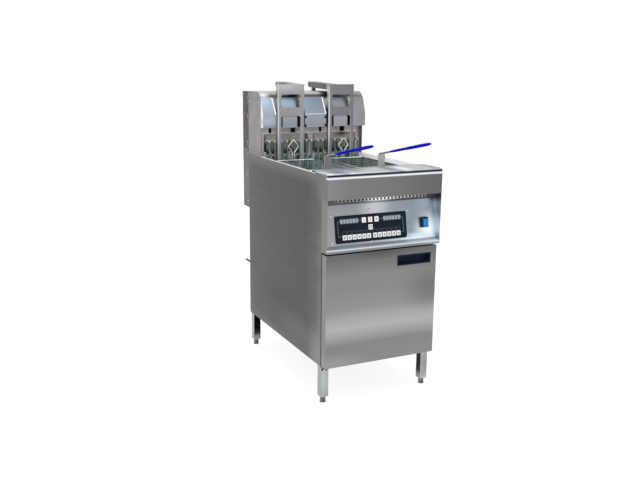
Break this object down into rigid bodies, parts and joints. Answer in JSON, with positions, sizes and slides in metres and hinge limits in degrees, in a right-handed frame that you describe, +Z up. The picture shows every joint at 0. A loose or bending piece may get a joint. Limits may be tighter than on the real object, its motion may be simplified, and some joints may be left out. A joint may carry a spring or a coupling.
{
  "type": "auto lift deep fryer",
  "caption": "Floor-standing electric deep fryer with a wide vat, wire baskets hung on powered lift frames, a sloping keypad panel, a hinged cabinet door and square legs on levelling feet.",
  "frame": {"origin": "on the floor under the middle of the machine's overall box", "axes": "+X to the right seen from the front, +Y to the back, +Z up"},
  "size_m": [0.48, 0.9407, 1.176],
  "materials": {
    "side_steel": "brushed stainless sheet",
    "front_steel": "horizontally brushed stainless sheet",
    "panel_steel": "bright brushed stainless sheet",
    "dull_steel": "mill-finish sheet",
    "bright_steel": "bright stainless sheet",
    "vat_steel": "smooth stainless sheet",
    "frame_steel": "satin stainless plate",
    "leg_steel": "satin stainless tube",
    "black_nylon": "matt black nylon",
    "keypad_film": "gloss dark film",
    "key_white": "matt off-white",
    "switch_black": "matt black",
    "switch_blue": "gloss blue",
    "handle_black": "matt blue-black",
    "element_sheath": "oxidised dark green-grey sheath",
    "valve_metal": "plated metal",
    "rack_steel": "machined steel",
    "drive_black": "black paint",
    "basket_wire": "bright plated wire",
    "grip_blue": "dipped blue plastic"
  },
  "bodies": {
    "cabinet": {"side_panel_left": "side_steel", "side_panel_right": "side_steel", "housing_side_left": "side_steel", "housing_side_right": "side_steel", "bottom_tray": "dull_steel", "legs": "leg_steel", "fascia": "front_steel", "control_panel": "panel_steel", "control_overlay": "keypad_film", "rocker_bezel": "switch_black", "door_hinges": "black_nylon", "vat": "vat_steel", "heating_elements": "element_sheath", "drain_valve": "valve_metal", "back_wall": "bright_steel", "hood": "bright_steel", "glide_buttons": "black_nylon", "top_cover": "bright_steel", "rear_cover_upper": "dull_steel", "rear_cover_lower": "dull_steel", "back_panel": "dull_steel", "rear_standoffs": "black_nylon", "lift_drive_left": "drive_black", "lift_drive_right": "drive_black"},
    "door": {"door": "front_steel", "door_handle": "handle_black"},
    "rocker": {"power_rocker": "switch_blue"},
    "drain_lever": {"drain_lever": "valve_metal"},
    "lift_left": {"lift_frame_left": "frame_steel", "lift_rack_left": "rack_steel"},
    "pinion_left": {"lift_pinion_left": "rack_steel"},
    "basket_left": {"basket_mesh_left": "basket_wire", "basket_frame_left": "basket_wire", "basket_grip_left": "grip_blue"},
    "lift_right": {"lift_frame_right": "frame_steel", "lift_rack_right": "rack_steel"},
    "pinion_right": {"lift_pinion_right": "rack_steel"},
    "basket_right": {"basket_mesh_right": "basket_wire", "basket_frame_right": "basket_wire", "basket_grip_right": "grip_blue"},
    "key_01": {"key_01": "key_white"},
    "key_02": {"key_02": "key_white"},
    "key_03": {"key_03": "key_white"},
    "key_04": {"key_04": "key_white"},
    "key_05": {"key_05": "key_white"},
    "key_06": {"key_06": "key_white"},
    "key_07": {"key_07": "key_white"},
    "key_08": {"key_08": "key_white"},
    "key_09": {"key_09": "key_white"},
    "key_10": {"key_10": "key_white"},
    "key_11": {"key_11": "key_white"},
    "key_12": {"key_12": "key_white"},
    "key_down": {"key_down": "key_white"},
    "key_set": {"key_set": "key_white"},
    "key_up": {"key_up": "key_white"},
    "key_select": {"key_select": "key_white"},
    "foot_front_left": {"foot_front_left": "leg_steel"},
    "foot_front_right": {"foot_front_right": "leg_steel"},
    "foot_rear_left": {"foot_rear_left": "leg_steel"},
    "foot_rear_right": {"foot_rear_right": "leg_steel"}
  },
  "joints": [
    {"name": "door_swing", "type": "hinge", "parent": "cabinet", "child": "door", "pos_m": [-0.232, -0.34788, 0.3675], "axis": [0, 0, -1], "range_deg": [0, 110]},
    {"name": "lift_left", "type": "slide", "parent": "cabinet", "child": "lift_left", "axis": [0, 0, 1], "range_m": [0, 0.16]},
    {"name": "pinion_left", "type": "hinge", "parent": "cabinet", "child": "pinion_left", "pos_m": [-0.056, 0.42312, 0.93], "axis": [0, 1, 0], "range_deg": [0, 520]},
    {"name": "basket_off_left", "type": "slide", "parent": "lift_left", "child": "basket_left", "axis": [0, 0, 1], "range_m": [0, 0.1]},
    {"name": "lift_right", "type": "slide", "parent": "cabinet", "child": "lift_right", "axis": [0, 0, 1], "range_m": [0, 0.16]},
    {"name": "pinion_right", "type": "hinge", "parent": "cabinet", "child": "pinion_right", "pos_m": [0.056, 0.42312, 0.93], "axis": [0, -1, 0], "range_deg": [0, 520]},
    {"name": "basket_off_right", "type": "slide", "parent": "lift_right", "child": "basket_right", "axis": [0, 0, 1], "range_m": [0, 0.1]},
    {"name": "rocker_tip", "type": "hinge", "parent": "cabinet", "child": "rocker", "pos_m": [0.1833, -0.35235, 0.67295], "axis": [-1, 0, 0], "range_deg": [0, 16]},
    {"name": "drain_turn", "type": "hinge", "parent": "cabinet", "child": "drain_lever", "pos_m": [0, -0.17888, 0.539], "axis": [0, 1, 0], "range_deg": [0, 90]},
    {"name": "key_01_press", "type": "slide", "parent": "cabinet", "child": "key_01", "axis": [0, 0.9847, -0.1742], "range_m": [0, 0.0008], "stiffness_N_per_m": 600},
    {"name": "key_02_press", "type": "slide", "parent": "cabinet", "child": "key_02", "axis": [0, 0.9847, -0.1742], "range_m": [0, 0.0008], "stiffness_N_per_m": 600},
    {"name": "key_03_press", "type": "slide", "parent": "cabinet", "child": "key_03", "axis": [0, 0.9847, -0.1742], "range_m": [0, 0.0008], "stiffness_N_per_m": 600},
    {"name": "key_04_press", "type": "slide", "parent": "cabinet", "child": "key_04", "axis": [0, 0.9847, -0.1742], "range_m": [0, 0.0008], "stiffness_N_per_m": 600},
    {"name": "key_05_press", "type": "slide", "parent": "cabinet", "child": "key_05", "axis": [0, 0.9847, -0.1742], "range_m": [0, 0.0008], "stiffness_N_per_m": 600},
    {"name": "key_06_press", "type": "slide", "parent": "cabinet", "child": "key_06", "axis": [0, 0.9847, -0.1742], "range_m": [0, 0.0008], "stiffness_N_per_m": 600},
    {"name": "key_07_press", "type": "slide", "parent": "cabinet", "child": "key_07", "axis": [0, 0.9847, -0.1742], "range_m": [0, 0.0008], "stiffness_N_per_m": 600},
    {"name": "key_08_press", "type": "slide", "parent": "cabinet", "child": "key_08", "axis": [0, 0.9847, -0.1742], "range_m": [0, 0.0008], "stiffness_N_per_m": 600},
    {"name": "key_09_press", "type": "slide", "parent": "cabinet", "child": "key_09", "axis": [0, 0.9847, -0.1742], "range_m": [0, 0.0008], "stiffness_N_per_m": 600},
    {"name": "key_10_press", "type": "slide", "parent": "cabinet", "child": "key_10", "axis": [0, 0.9847, -0.1742], "range_m": [0, 0.0008], "stiffness_N_per_m": 600},
    {"name": "key_11_press", "type": "slide", "parent": "cabinet", "child": "key_11", "axis": [0, 0.9847, -0.1742], "range_m": [0, 0.0008], "stiffness_N_per_m": 600},
    {"name": "key_12_press", "type": "slide", "parent": "cabinet", "child": "key_12", "axis": [0, 0.9847, -0.1742], "range_m": [0, 0.0008], "stiffness_N_per_m": 600},
    {"name": "key_down_press", "type": "slide", "parent": "cabinet", "child": "key_down", "axis": [0, 0.9847, -0.1742], "range_m": [0, 0.0008], "stiffness_N_per_m": 600},
    {"name": "key_set_press", "type": "slide", "parent": "cabinet", "child": "key_set", "axis": [0, 0.9847, -0.1742], "range_m": [0, 0.0008], "stiffness_N_per_m": 600},
    {"name": "key_up_press", "type": "slide", "parent": "cabinet", "child": "key_up", "axis": [0, 0.9847, -0.1742], "range_m": [0, 0.0008], "stiffness_N_per_m": 600},
    {"name": "key_select_press", "type": "slide", "parent": "cabinet", "child": "key_select", "axis": [0, 0.9847, -0.1742], "range_m": [0, 0.0008], "stiffness_N_per_m": 600},
    {"name": "foot_turn_front_left", "type": "hinge", "parent": "cabinet", "child": "foot_front_left", "pos_m": [-0.2205, -0.31438, 0.025], "axis": [0, 0, 1], "continuous": true},
    {"name": "foot_turn_front_right", "type": "hinge", "parent": "cabinet", "child": "foot_front_right", "pos_m": [0.2205, -0.31438, 0.025], "axis": [0, 0, 1], "continuous": true},
    {"name": "foot_turn_rear_left", "type": "hinge", "parent": "cabinet", "child": "foot_rear_left", "pos_m": [-0.2205, 0.38162, 0.025], "axis": [0, 0, 1], "continuous": true},
    {"name": "foot_turn_rear_right", "type": "hinge", "parent": "cabinet", "child": "foot_rear_right", "pos_m": [0.2205, 0.38162, 0.025], "axis": [0, 0, 1], "continuous": true}
  ],
  "couplings": [
    {"joint": "pinion_left", "follows": "lift_left", "rad_per_m": 55.556},
    {"joint": "pinion_right", "follows": "lift_right", "rad_per_m": 55.556}
  ]
}
